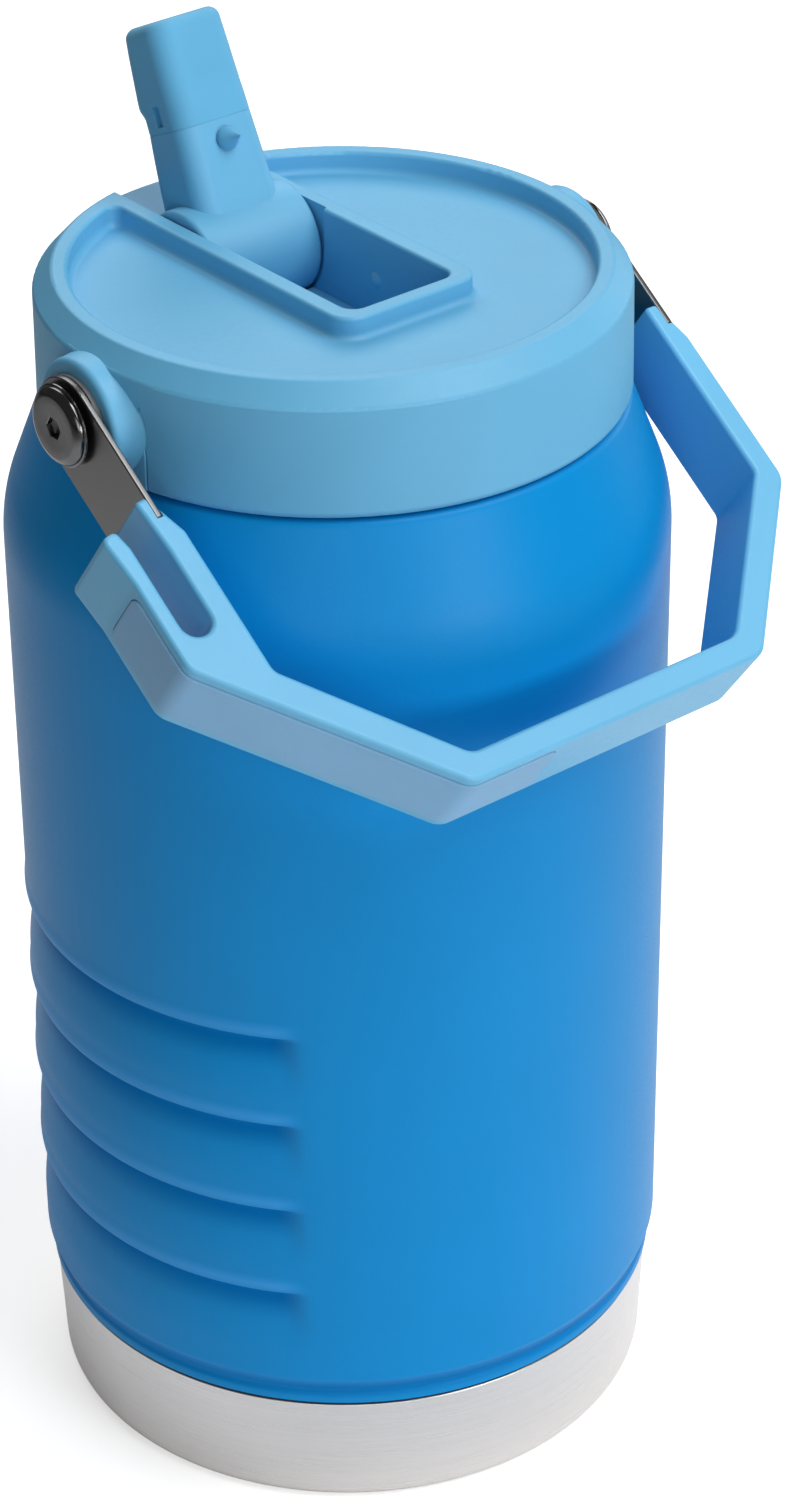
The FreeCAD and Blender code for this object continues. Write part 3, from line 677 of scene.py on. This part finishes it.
def strap(side, name):
    """Flat strap with a round eye and a tang, its edges broken by a small radius."""
    eye = STRAP_HALF - 0.01
    outline = [(STRAP_HALF, -STRAP_HALF, eye), (STRAP_HALF, STRAP_HALF, eye),
               (-STRAP_SHOW, STRAP_HALF, 0.5), (-STRAP_SHOW, TANG_HALF, 0.5),
               (-STRAP_END, TANG_HALF, 1.0), (-STRAP_END, -TANG_HALF, 1.0),
               (-STRAP_SHOW, -TANG_HALF, 0.5), (-STRAP_SHOW, -STRAP_HALF, 0.5)]
    flat, faces = slab_mesh(outline, (STRAP_OUT - STRAP_IN) / 2, 0.3, steps=14, rim_steps=3)
    middle = (STRAP_IN + STRAP_OUT) / 2
    points = [(side * (middle + t), v, w) for v, w, t in flat]
    piece = new_piece(name + "_skin", points, faces, "bail", "strap_steel", [name], HANG)
    hole = lathe_mesh([(0.0, -3), (BUSH_R, -3), (BUSH_R, 3), (0.0, 3)], 48)
    turned = [(side * (middle + z), x, y) for x, y, z in hole[0]]
    cut_out(piece, [(turned, hole[1])], HANG)
    even_shading(piece)


BOSS_R = 11.9
BOSS_HOLE_R = 4.6
BOSS_RIM = 1.3
BOSS_FACE = 61.2
BOSS_FOOT = 55.2        # where the boss ends, inside the skirt
BOSS_BOTTOM = 229.4
FLARE = 3.6             # how far the boss spreads where it meets the skirt, except at its top
FLARE_STEPS = 14
SKIRT_R = 57.9
SKIRT_BOTTOM = 229.0
SKIRT_DRAFT = 0.25      # how much the skirt narrows between its bottom and the chamfer
CHAMFER_Z = 251.4
CHAMFER_R = 57.65
CHAMFER_SLOPE = 3.8 / 4.1
BACKING_TOP = 252.08
BACKING_BOTTOM = 240.0
MOUNT_HALF = 14.35
MOUNT_PROUD = 0.04


def skirt_radius(height):
    """Radius of the lid skirt at a height."""
    return SKIRT_R - SKIRT_DRAFT * (height - SKIRT_BOTTOM) / (CHAMFER_Z - SKIRT_BOTTOM)


def on_skirt(side, radius, angle, height):
    """Point on a cylinder about the lid's axis, at an angle from the pivot."""
    return side * radius * math.cos(angle), radius * math.sin(angle), height


def boss(side, name):
    """Pivot boss that flares softly into the lid skirt."""
    profile = [(BOSS_HOLE_R, BOSS_FOOT, 0), (BOSS_HOLE_R, BOSS_FACE - 0.3, 0),
               (BOSS_HOLE_R + 0.3, BOSS_FACE, 0)]
    profile += [(BOSS_R - BOSS_RIM + BOSS_RIM * math.sin(math.radians(a)),
                 BOSS_FACE - BOSS_RIM + BOSS_RIM * math.cos(math.radians(a)), 0)
                for a in range(0, 91, 15)]
    flare_start = BOSS_FACE - 1.4
    for i in range(1, FLARE_STEPS + 1):
        share = i / FLARE_STEPS
        profile.append((BOSS_R, flare_start - (flare_start - BOSS_FOOT) * share, share ** 2.2))
    profile.append((BOSS_HOLE_R, BOSS_FOOT, 0))
    rings = []
    for radius, out, spread in profile:
        ring = []
        for i in range(120):
            angle = 2 * math.pi * i / 120
            top = max(0.0, math.sin(angle))
            r = radius + FLARE * spread * (1 - top ** 1.5)
            height = PIVOT.z / MM + r * math.sin(angle)
            if height < BOSS_BOTTOM:
                height = BOSS_BOTTOM - 0.2 * math.tanh((BOSS_BOTTOM - height) / 0.2)
            ring.append((side * out, r * math.cos(angle), height))
        rings.append(ring)
    points, faces = skin(rings)
    new_piece(name, points, faces, "lid", "lid_plastic", sharp_deg=50)


def boss_backing(side, name):
    """Skirt and chamfer surface carried on behind the top of the boss."""
    rings = []
    for step in range(-13, 14):
        angle = step / SKIRT_R
        ring = []
        for height in (BACKING_BOTTOM, 243.0, 246.0, 249.0, 250.6, 251.1, CHAMFER_Z, 251.7,
                       BACKING_TOP):
            chamfer = CHAMFER_R - (height - CHAMFER_Z) * CHAMFER_SLOPE
            r = soft_min(skirt_radius(height), chamfer, 0.35) - 0.02
            ring.append(on_skirt(side, r, angle, height))
        ring += [on_skirt(side, SKIRT_R - 2.6, angle, z) for z in (BACKING_TOP, BACKING_BOTTOM)]
        rings.append(ring)
    points, faces = skin(rings, capped=True)
    new_piece(name, points, faces, "lid", "lid_plastic", sharp_deg=50)


def mount_plate(side, name, node):
    """Curved plate with rounded upper corners, let into the skirt around the boss."""
    edge, corner, bottom, top = 0.3, 4.0, 229.7, PIVOT.z / MM
    spans = [MOUNT_HALF - edge * (1 - math.cos(math.radians(a))) for a in range(0, 91, 30)]
    spans += [MOUNT_HALF - corner * i / 8 for i in range(1, 9)] + [8.0, 6.0, 4.0, 2.0, 0.0]
    spans = sorted({round(v, 4) for v in spans} | {-round(v, 4) for v in spans})
    rings = []
    for s in spans:
        near_side = MOUNT_HALF - abs(s)
        inside = max(0.0, corner - near_side)
        crest = top - corner + math.sqrt(max(0.0, corner ** 2 - inside ** 2))
        rows = [0.0, 0.05, 0.15, 0.3, 2.0]
        heights = [bottom + v for v in rows] + [crest - v for v in reversed(rows)]
        angle = s / SKIRT_R
        ring = []
        for height in heights:
            near = min(1.0, min(near_side, height - bottom, crest - height) / edge)
            drop = edge * (1 - math.sqrt(max(0.0, 1 - (1 - near) ** 2)))
            ring.append(on_skirt(side, skirt_radius(height) + MOUNT_PROUD - drop, angle, height))
        ring += [on_skirt(side, SKIRT_R - 1.9, angle, z) for z in (crest, bottom)]
        rings.append(ring)
    points, faces = skin(rings, capped=True)
    new_piece(name, points, faces, "lid", "lid_plastic", [node], sharp_deg=60)


# ---- drinking spout, shaped upright on its hinge and then leaned back ------------------
SPOUT_LEAN = 24.0
LEAN = Matrix.Translation(HINGE) @ Matrix.Rotation(math.radians(-SPOUT_LEAN), 4, "X")
SPOUT_LEN = 47.5
MOUTH_SECTIONS = [      # (height, half width, front y, back y, corner radius)
    (26.02, 9.12, -7.74, 6.80, 4.2), (26.22, 9.20, -7.80, 6.88, 4.2), (29.2, 9.15, -7.80, 6.98, 4.3),
    (30.0, 9.13, -7.78, 7.35, 4.3), (30.9, 9.10, -7.74, 8.02, 4.3), (31.6, 9.08, -7.70, 8.20, 4.3),
    (33.0, 9.05, -7.66, 8.10, 4.3), (38.0, 8.94, -7.56, 7.48, 4.3), (42.0, 8.84, -7.48, 6.98, 4.3)]
MOUTH_TOP = (8.76, -7.40, 6.55, 4.3)
MOUTH_ROUNDING = 2.2
MOUTH_SLOPE = 0.03      # the top falls towards the back
MOUTH_WINDOW = (-12.0, -8.2, -1.6, 0.6, 27.3, 31.4)
SLOT_HALF = (4.6, 1.8)
SLOT_FORWARD = 0.5


def section(half, front, back, radius):
    """Rounded rectangle of a spout section, starting at a fixed corner."""
    return rounded_outline([(-half, front, radius), (half, front, radius), (half, back, radius),
                            (-half, back, radius)], 0.0, 10)


def sloped(outline, height):
    """Ring of the mouthpiece's top, which falls towards the back."""
    return [(p.x, p.y, height - MOUTH_SLOPE * (p.y - MOUTH_TOP[1])) for p in outline]


def mouthpiece():
    """Soft sleeve with a domed top, a drinking slot, a back step and a small side window."""
    rings = []
    for height, half, front, back, radius in MOUTH_SECTIONS:
        rings.append([(p.x, p.y, height) for p in section(half, front, back, radius)])
    half, front, back, radius = MOUTH_TOP
    crown = SPOUT_LEN - MOUTH_ROUNDING - 0.25
    for degrees in range(0, 91, 10):
        turn = math.radians(degrees)
        inset = MOUTH_ROUNDING * (1 - math.cos(turn))
        rise = MOUTH_ROUNDING * math.sin(turn)
        rings.append(sloped(section(half - inset, front + inset, back - inset,
                                    max(1.2, radius - inset * 0.8)), crown + rise))
    for share, dip in ((0.35, 0.0), (0.7, 0.05), (1.0, 0.25), (1.0, 1.2), (1.0, 4.0)):
        a = half - MOUTH_ROUNDING + (SLOT_HALF[0] - half + MOUTH_ROUNDING) * share
        f = front + MOUTH_ROUNDING + (-SLOT_HALF[1] - SLOT_FORWARD - front - MOUTH_ROUNDING) * share
        b = back - MOUTH_ROUNDING + (SLOT_HALF[1] - SLOT_FORWARD - back + MOUTH_ROUNDING) * share
        r = min(1.6, (b - f) / 2 - 0.02, radius - 0.8 * MOUTH_ROUNDING + share * 0.3)
        tighter = 0.15 if dip >= 1.0 else 0.0
        rings.append(sloped(section(a - tighter, f + tighter, b - tighter, max(0.4, r - tighter)),
                            crown + MOUTH_ROUNDING - dip))
    points, faces = skin(rings, capped=True)
    piece = new_piece("mouthpiece_skin", points, faces, "spout", "soft_mouthpiece",
                      ["mouthpiece"], LEAN, 50)
    cut_out(piece, [box_piece(*MOUTH_WINDOW)], LEAN)
    even_shading(piece)


PLUG_FOOT = Vector((0, -7.98, 22.0)) * MM
PLUG_AT = Matrix.Translation(PLUG_FOOT) @ Matrix.Rotation(math.radians(90), 4, "X")
PLUG_PROFILE = [        # (radius, distance out of the spout's face)
    (0.3, -1.85), (1.5, -1.85), (1.5, 0.0), (2.2, 0.02), (2.35, 0.4), (2.28, 0.9), (1.95, 1.6),
    (1.5, 2.3), (1.05, 3.0), (0.68, 3.7), (0.38, 4.4), (0.2, 4.9), (0.05, 5.1)]


def plug():
    """Pointed soft plug on the face of the spout, on a short stem."""
    points, faces = lathe_mesh(PLUG_PROFILE, 48, capped=True)
    piece = new_piece("vent_plug_skin", points, faces, "spout", "soft_mouthpiece", ["vent_plug"],
                      LEAN @ PLUG_AT, 50)
    even_shading(piece)


HEAD_IN = 64.5
HEAD_OUT = 66.6
HEAD_R = 7.7
HEX_R = 2.0
HEX_FLOOR = 0.95
SHANK_R = 3.0
SHANK_END = 56.0


def screw(side, name):
    """Shoulder screw: thin flange, turned head with a broad polished bevel, hexagon recess."""
    tall = HEAD_OUT - HEAD_IN
    profile = [
        (0.0, SHANK_END - HEAD_IN), (SHANK_R - 0.3, SHANK_END - HEAD_IN),
        (SHANK_R, SHANK_END - HEAD_IN + 0.3), (SHANK_R, -0.3), (SHANK_R, 0.0),
        (HEAD_R + 0.25, 0.0), (HEAD_R + 0.45, 0.1), (HEAD_R + 0.5, 0.28),
        (HEAD_R + 0.42, 0.48), (HEAD_R + 0.2, 0.58), (HEAD_R - 0.12, 0.62), (HEAD_R - 0.16, 0.74),
        (HEAD_R, 0.86), (HEAD_R - 0.02, 1.02), (HEAD_R - 0.16, 1.22), (HEAD_R - 0.45, 1.5),
        (HEAD_R - 0.85, 1.78), (HEAD_R - 1.3, tall - 0.1), (HEAD_R - 1.7, tall), (4.5, tall - 0.04),
        (2.7, tall - 0.08), (HEX_R + 0.16, tall - 0.1), (HEX_R, tall - 0.24), (HEX_R, HEX_FLOOR),
        (0.9, HEX_FLOOR - 0.2), (0.0, HEX_FLOOR - 0.25)]
    flat = math.radians(60)

    def radius_at(angle, radius, z):
        if abs(radius - HEX_R) < 0.2 and z >= HEX_FLOOR:
            return radius * math.cos(flat / 2) / math.cos((angle % flat) - flat / 2) * 1.08
        return radius

    turned, faces = lathe_mesh(profile, 96, radius_at)
    points = [(side * (HEAD_IN + z), x, y) for x, y, z in turned]
    piece = new_piece(name + "_skin", points, faces, "lid", "polished_steel", [name],
                      Matrix.Translation(PIVOT), 35)
    even_shading(piece)


# ---- studio ---------------------------------------------------------------------------
def look_at(obj, target):
    """Turns a lamp towards a point."""
    obj.rotation_euler = (Vector(target) - obj.location).to_track_quat("-Z", "Y").to_euler()


def softbox(name, azimuth, elevation, distance, size, power, target=(0, 0, 0.14)):
    """Rectangular light that faces the jug from an azimuth and elevation in degrees."""
    light = bpy.data.lights.new(name, "AREA")
    light.shape = "RECTANGLE"
    light.size, light.size_y = size
    light.energy = power
    lamp = bpy.data.objects.new(name, light)
    a, e = math.radians(azimuth), math.radians(elevation)
    lamp.location = Vector(target) + distance * Vector(
        (math.cos(a) * math.cos(e), math.sin(a) * math.cos(e), math.sin(e)))
    bpy.context.scene.collection.objects.link(lamp)
    look_at(lamp, target)


def studio():
    """Soft boxes round the jug, a faint even surround and plain colour management."""
    softbox("key", -68, 60, 1.2, (0.8, 0.8), 9.6)
    softbox("back", 62, 46, 1.3, (1.3, 0.8), 8.0)
    softbox("low_front", -86, 8, 1.5, (0.7, 0.35), 6.0)
    softbox("front", -128, 14, 1.6, (1.2, 0.7), 4.5)
    softbox("low_right", 5, 10, 1.4, (0.9, 0.6), 2.4)
    world = bpy.data.worlds.new("studio")
    world.use_nodes = True
    world.node_tree.nodes["Background"].inputs["Color"].default_value = (1, 1, 1, 1)
    world.node_tree.nodes["Background"].inputs["Strength"].default_value = 0.08
    bpy.context.scene.world = world
    bpy.context.scene.view_settings.view_transform = "Standard"


FLOOR_NEAR = 0.30       # the sheet lights the jug fully out to here, and weakly beyond FLOOR_FAR
FLOOR_FAR = 0.75
NEAR_WHITE = (1.0, 1.0, 1.0)
FAR_GREY = (0.30, 0.30, 0.31)


def floor():
    """Plain pale sheet, slightly mottled; its bounced light and reflections fall off far away."""
    half = 6.0
    mesh = bpy.data.meshes.new("floor")
    mesh.from_pydata([(-half, -half, 0), (half, -half, 0), (half, half, 0), (-half, half, 0)], [],
                     [(0, 1, 2, 3)])
    finish = Finish("floor_white", 0.9, specular=0.1)
    finish.mottle((0.90, 0.90, 0.90), (0.92, 0.92, 0.92), 400)
    finish.set(Emission_Color=(1, 1, 1, 1), Emission_Strength=0.5)
    tree = finish.tree
    matte = tree.nodes.new("ShaderNodeBsdfDiffuse")
    path = tree.nodes.new("ShaderNodeLightPath")
    reach = tree.nodes.new("ShaderNodeVectorMath")
    reach.operation = "LENGTH"
    distance = tree.nodes.new("ShaderNodeMapRange")
    distance.interpolation_type = "SMOOTHSTEP"
    distance.inputs["From Min"].default_value = FLOOR_NEAR
    distance.inputs["From Max"].default_value = FLOOR_FAR
    mix = tree.nodes.new("ShaderNodeMixShader")
    tree.links.new(finish.place, reach.inputs[0])
    tree.links.new(reach.outputs["Value"], distance.inputs["Value"])
    tree.links.new(finish.ramp(distance.outputs["Result"], NEAR_WHITE, FAR_GREY, 0.0, 1.0),
                   matte.inputs["Color"])
    tree.links.new(path.outputs["Is Camera Ray"], mix.inputs["Fac"])
    tree.links.new(matte.outputs["BSDF"], mix.inputs[1])
    tree.links.new(finish.shader.outputs["BSDF"], mix.inputs[2])
    tree.links.new(mix.outputs["Shader"], tree.nodes["Material Output"].inputs["Surface"])
    mesh.materials.append(finish.material)
    sheet = bpy.data.objects.new("floor", mesh)
    bpy.context.scene.collection.objects.link(sheet)


def camera():
    """Long lens above the front left, looking down at the jug with a small roll."""
    lens = bpy.data.cameras.new("camera")
    lens.sensor_width = 36.0
    lens.lens = 100.17
    viewer = bpy.data.objects.new("camera", lens)
    pan, tilt, roll = math.radians(-39.229), math.radians(58.871), math.radians(-0.661)
    place = Matrix.Translation((-0.4545, -0.5733, 0.5869))
    aim = Matrix.Rotation(pan, 4, "Z") @ Matrix.Rotation(tilt, 4, "X")
    viewer.matrix_world = place @ aim @ Matrix.Rotation(roll, 4, "Z")
    bpy.context.scene.collection.objects.link(viewer)
    bpy.context.scene.camera = viewer


camera()
studio()
floor()
finish_cad_nodes()
painted_shell()
mouthpiece()
plug()
handle()
panel()
for side, hand in ((-1, "left"), (1, "right")):
    strap(side, "strap_" + hand)
    screw(side, "pivot_screw_" + hand)
    boss(side, "pivot_boss_" + hand)
    boss_backing(side, "boss_backing_" + hand)
    mount_plate(side, "mount_plate_" + hand, "pivot_mount_" + hand)
